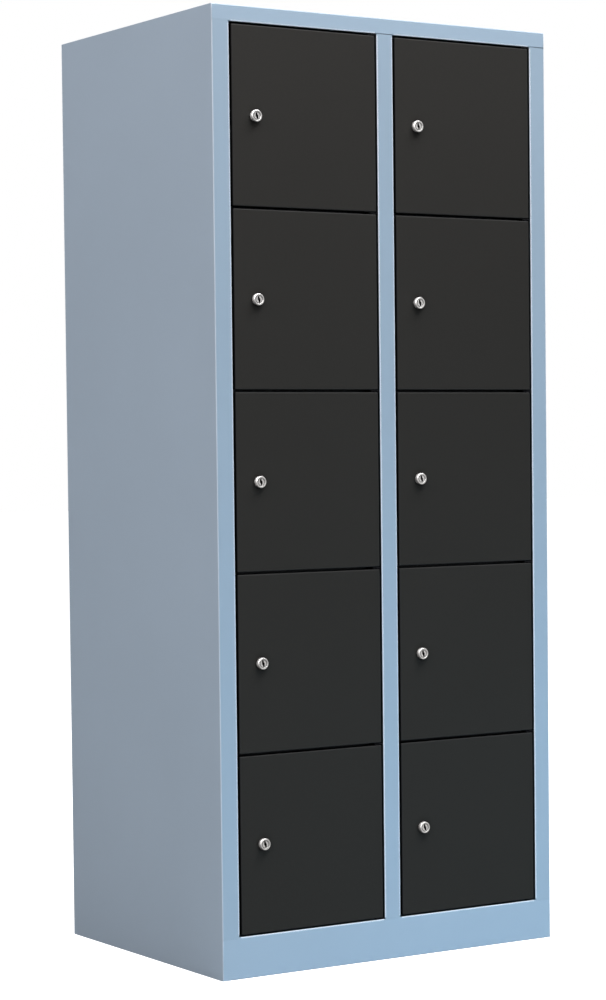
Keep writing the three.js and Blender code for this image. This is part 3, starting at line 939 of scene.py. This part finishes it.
def lock_body():
    """Plated head with a rounded rim and a recessed floor, on a threaded barrel with two flats."""
    floor = FACE_RECESS - HEAD_HEIGHT
    soft = HEAD_SOFT
    profile = [(BORE_RADIUS, BARREL_END - soft), (BORE_RADIUS, floor + soft), (BORE_RADIUS + soft, floor)]
    profile += arc((FACE_RADIUS - soft, floor - soft), soft, 90, 0, 4)
    profile += arc((FACE_RADIUS + 2 * soft, -HEAD_HEIGHT + soft), (2 * soft, soft), 180, 270, 6)
    rim = (HEAD_RADIUS - RIM_ROUNDING[0], -HEAD_HEIGHT + RIM_ROUNDING[1])
    profile += arc(rim, RIM_ROUNDING, 270, 360, 12)
    profile += arc((HEAD_RADIUS - soft, -soft), soft, 0, 90, 3)
    root = BARREL_RADIUS - THREAD_DEPTH
    profile += [(root, 0)]
    start = 2 * SHEET
    turns = int((BARREL_END - soft - start) / THREAD_PITCH)
    for turn in range(turns):
        low = start + turn * THREAD_PITCH
        profile += [(root, low), (BARREL_RADIUS, low + THREAD_FLANK * THREAD_PITCH)]
        profile += [(BARREL_RADIUS, low + (1 - THREAD_FLANK) * THREAD_PITCH)]
    profile += [(root, BARREL_END - soft), (root - soft, BARREL_END), (BORE_RADIUS + soft, BARREL_END)]
    body = turned(profile)
    tools = []
    for sign in (-1, 1):
        near, far = sorted((sign * BARREL_FLAT, sign * NUT_RADIUS))
        tools.append(block((near, SHEET / 4, -NUT_RADIUS), (far, 2 * BARREL_END, NUT_RADIUS)))
    return cut(body, *tools)


def lock_nut():
    """Hexagonal fixing nut with its corners turned off on both faces."""
    flats = NUT_RADIUS * math.cos(math.pi / 6)
    chamfer = (NUT_RADIUS - flats) / 2
    start, end = SHEET, SHEET + NUT_HEIGHT
    hexagon = prism(disc(NUT_RADIUS, sides=6), Y, start, end)
    cone = turned([
        (0, start), (flats, start), (NUT_RADIUS, start + chamfer),
        (NUT_RADIUS, end - chamfer), (flats, end), (0, end)])
    hole = turned([(0, start - SHEET), (NUT_BORE, start - SHEET), (NUT_BORE, end + SHEET), (0, end + SHEET)])
    return cut(combine(hexagon, "INTERSECT", [cone]), hole)


def keyhole():
    """Outline of a double-bitted key's slot: two rounded legs, the upper one stepped to the left."""
    half = KEYHOLE_WIDTH / 2
    shift = KEYHOLE_STEP / 2
    reach = KEYHOLE_LENGTH - half
    return (
        arc((-shift, reach), half, 0, 180)
        + [(-shift - half, -half + shift), (shift - half, -half - shift)]
        + arc((shift, -reach), half, 180, 360)
        + [(shift + half, half - shift), (-shift + half, half + shift)]
    )


def lock_plug():
    """Plug with the key's slot in its face and a square tail for the cam."""
    face = FACE_RECESS - HEAD_HEIGHT
    soft = PLUG_SOFT
    plug = turned([
        (0, face), (PLUG_RADIUS - soft, face), (PLUG_RADIUS, face + soft),
        (PLUG_RADIUS, PLUG_END - soft), (PLUG_RADIUS - soft, PLUG_END), (0, PLUG_END)])
    half = TAIL_SIDE / 2
    tail = block((-half, PLUG_END - SHEET, -half), (half, TAIL_END, half))
    slot = prism(keyhole(), Y, face - SHEET, face + KEYHOLE_DEPTH)
    return join(cut(plug, slot), tail)


def lock_cam():
    """Flat cam with a rounded tip, hanging down when the lock is open."""
    tip = CAM_TIP_RADIUS
    low = tip - CAM_LENGTH
    outline = arc((0, 0), CAM_RADIUS, 0, 180, 16)
    outline += arc((tip - CAM_RADIUS, low), tip, 180, 270)
    outline += arc((CAM_RADIUS - tip, low), tip, 270, 360)
    plate = prism(outline, Y, PLUG_END, PLUG_END + CAM_THICKNESS)
    half = TAIL_SIDE / 2 + CAM_PLAY
    return cut(plate, block((-half, 0, -half), (half, TAIL_END + SHEET, half)))


def cam_screw():
    """Hexagon screw and washer on the plug's tail, which hold the cam."""
    washer_end = TAIL_END + WASHER_HEIGHT
    washer = turned([
        (0, TAIL_END), (WASHER_RADIUS, TAIL_END), (WASHER_RADIUS, washer_end), (0, washer_end)], ROUND_SIDES)
    end = SCREW_START + SCREW_HEIGHT
    flats = SCREW_RADIUS * math.cos(math.pi / 6)
    head = prism(disc(SCREW_RADIUS, sides=6), Y, SCREW_START, end)
    crown = turned([
        (0, SCREW_START), (SCREW_RADIUS, SCREW_START), (SCREW_RADIUS, end - SCREW_CROWN[1]),
        (flats - SCREW_CROWN[0], end), (0, end)], ROUND_SIDES)
    return join(washer, combine(head, "INTERSECT", [crown]))


# ---- Assembly ----

def assemble_carcass():
    right_side = eased(side_panel(flush_at=(PLINTH,)), kept_sharp=at_flush_joint)
    left_side = mirrored(eased(side_panel(flush_at=(PLINTH, OPENING_TOP)), kept_sharp=at_either_end))
    show_carcass("side_panel_right", right_side, "upright_paint")
    show_carcass("side_panel_left", left_side, "upright_paint")
    show_carcass("top_panel", eased(top_panel(), kept_sharp=at_front_corner), "crossbar_lit_paint")
    show_carcass("plinth", eased(plinth(), kept_sharp=at_front_corner), "crossbar_lit_paint")
    show_carcass("mullion", eased(mullion(), kept_sharp=at_flush_joint), "upright_paint")
    show_carcass("centre_partition", eased(centre_partition()))
    show_carcass("back_panel", eased(back_panel()))
    show_carcass("base_panel", eased(base_panel()))
    for side in SIDES:
        show_carcass(f"hinge_strip_{side}", eased(hinge_strip(side)), "hinge_shade_paint")
        low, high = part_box(f"hinge_rod_{side}")
        middle = (low + high) / 2
        show(
            f"hinge_rod_{side}_skin", eased(hinge_rod(side)), "hinge_shade_paint", "carcass",
            (middle.x, middle.y, low.z), (f"hinge_rod_{side}",))
        tray = eased(shelf(*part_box(f"shelf_{side}_1")))
        for row in range(1, ROWS):
            low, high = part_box(f"shelf_{side}_{row}")
            show(
                f"shelf_{side}_{row}_skin", tray, "frame_paint", "carcass",
                (low.x, low.y, high.z), (f"shelf_{side}_{row}",))


def lock_axis(side, row):
    low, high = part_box(f"lock_plug_{side}_{row}")
    return Vector(((low.x + high.x) / 2, FRONT, (low.z + high.z) / 2))


def assemble_doors():
    low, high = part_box("door_left_1")
    axis = lock_axis("left", 1) - low
    pan = eased(door_pan(high - low, (axis.x, axis.z)))
    body = eased(lock_body(), FINE)
    nut = eased(lock_nut(), FINE)
    plug = eased(lock_plug(), PLUG_EDGE)
    cam = eased(lock_cam(), CAM_EDGE, 3)
    screw = eased(cam_screw(), FINE)
    for side in SIDES:
        for row in range(1, ROWS + 1):
            key = f"{side}_{row}"
            door, core = f"door_{key}", f"lock_core_{key}"
            axis = lock_axis(side, row)
            show(f"door_{key}_pan", pan, "door_paint", door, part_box(door)[0], (door,))
            show(f"lock_head_{key}", body, "chrome", door, axis, (f"lock_body_{key}",))
            show(f"lock_nut_{key}", nut, "zinc", door, axis)
            show(f"lock_plug_{key}_keyed", plug, "chrome", core, axis, (f"lock_plug_{key}",))
            show(f"lock_cam_{key}_plate", cam, "zinc", core, axis, (f"lock_cam_{key}",))
            show(f"cam_screw_{key}", screw, "zinc", core, axis)


assemble_carcass()
assemble_doors()


# ---- Studio ----

def direction(azimuth, elevation):
    """Unit vector to a place, by degrees left of straight in front and degrees above the horizon."""
    turn, rise = math.radians(azimuth), math.radians(elevation)
    return Vector((-math.sin(turn) * math.cos(rise), -math.cos(turn) * math.cos(rise), math.sin(rise)))


def softbox(name, azimuth, elevation, distance, aim, size, power, colour):
    """Rectangular area light that faces the locker's axis at the height aim."""
    light = bpy.data.lights.new(name, "AREA")
    light.shape = "RECTANGLE"
    light.size, light.size_y = size
    light.energy = power
    light.color = colour
    box = bpy.data.objects.new(name, light)
    bpy.context.scene.collection.objects.link(box)
    target = Vector((0, 0, aim))
    towards = direction(azimuth, elevation)
    box.location = target + towards * distance
    box.rotation_mode = "QUATERNION"
    box.rotation_quaternion = towards.to_track_quat("Z", "Y")
    box.visible_camera = False
    box.visible_glossy = name not in NOT_REFLECTED
    if name in FOR_METAL:
        box.light_linking.receiver_collection = METAL


def world():
    """White behind the locker for the camera, and a softer grey room for everything that is lit."""
    room = bpy.data.worlds.new("room")
    room.use_nodes = True
    tree = room.node_tree
    tree.nodes.clear()
    path = tree.nodes.new("ShaderNodeLightPath")
    seen, lit = tree.nodes.new("ShaderNodeBackground"), tree.nodes.new("ShaderNodeBackground")
    seen.inputs["Color"].default_value = (1, 1, 1, 1)
    lit.inputs["Color"].default_value = (*ROOM_COLOUR, 1)
    lit.inputs["Strength"].default_value = ROOM_LEVEL
    mix, out = tree.nodes.new("ShaderNodeMixShader"), tree.nodes.new("ShaderNodeOutputWorld")
    tree.links.new(path.outputs["Is Camera Ray"], mix.inputs[0])
    tree.links.new(lit.outputs[0], mix.inputs[1])
    tree.links.new(seen.outputs[0], mix.inputs[2])
    tree.links.new(mix.outputs[0], out.inputs[0])
    bpy.context.scene.world = room


def floor():
    """Plain pale floor. To the camera it glows, so that it meets the background without a line."""
    half = FLOOR_HALF
    ground = piece("floor", from_faces(
        [(-half, -half, 0), (half, -half, 0), (half, half, 0), (-half, half, 0)], [(0, 1, 2, 3)]))
    made = bpy.data.materials.new("floor")
    made.use_nodes = True
    tree = made.node_tree
    surface = tree.nodes["Principled BSDF"]
    surface.inputs["Base Color"].default_value = (*FLOOR_COLOUR, 1)
    surface.inputs["Roughness"].default_value = FLOOR_ROUGHNESS
    surface.inputs["Specular IOR Level"].default_value = 0
    surface.inputs["Emission Color"].default_value = (1, 1, 1, 1)
    path, glow = tree.nodes.new("ShaderNodeLightPath"), tree.nodes.new("ShaderNodeMath")
    glow.operation = "MULTIPLY"
    glow.inputs[1].default_value = FLOOR_GLOW
    tree.links.new(path.outputs["Is Camera Ray"], glow.inputs[0])
    tree.links.new(glow.outputs[0], surface.inputs["Emission Strength"])
    ground.data.materials.append(made)
    ground.visible_glossy = False


def camera():
    """Portrait camera at the left of the front, a little above the locker's middle."""
    lens = bpy.data.cameras.new("camera")
    lens.lens = CAMERA_LENS
    lens.sensor_width = CAMERA_SENSOR
    lens.clip_end = CAMERA_REACH
    lens.shift_x, lens.shift_y = CAMERA_SHIFT
    eye = bpy.data.objects.new("camera", lens)
    bpy.context.scene.collection.objects.link(eye)
    yaw, tilt, roll = (math.radians(a) for a in (CAMERA_YAW, CAMERA_TILT, CAMERA_ROLL))
    ahead = Vector((math.sin(yaw) * math.cos(tilt), math.cos(yaw) * math.cos(tilt), math.sin(tilt)))
    level = Vector((math.cos(yaw), -math.sin(yaw), 0))
    upright = level.cross(ahead)
    right = level * math.cos(roll) - upright * math.sin(roll)
    up = level * math.sin(roll) + upright * math.cos(roll)
    turn = Matrix((right, up, -ahead)).transposed()
    eye.matrix_world = Matrix.Translation(CAMERA_PLACE) @ turn.to_4x4()
    bpy.context.scene.camera = eye


world()
floor()
camera()
for softbox_values in SOFTBOXES:
    softbox(*softbox_values)
bpy.context.scene.view_settings.view_transform = "Standard"
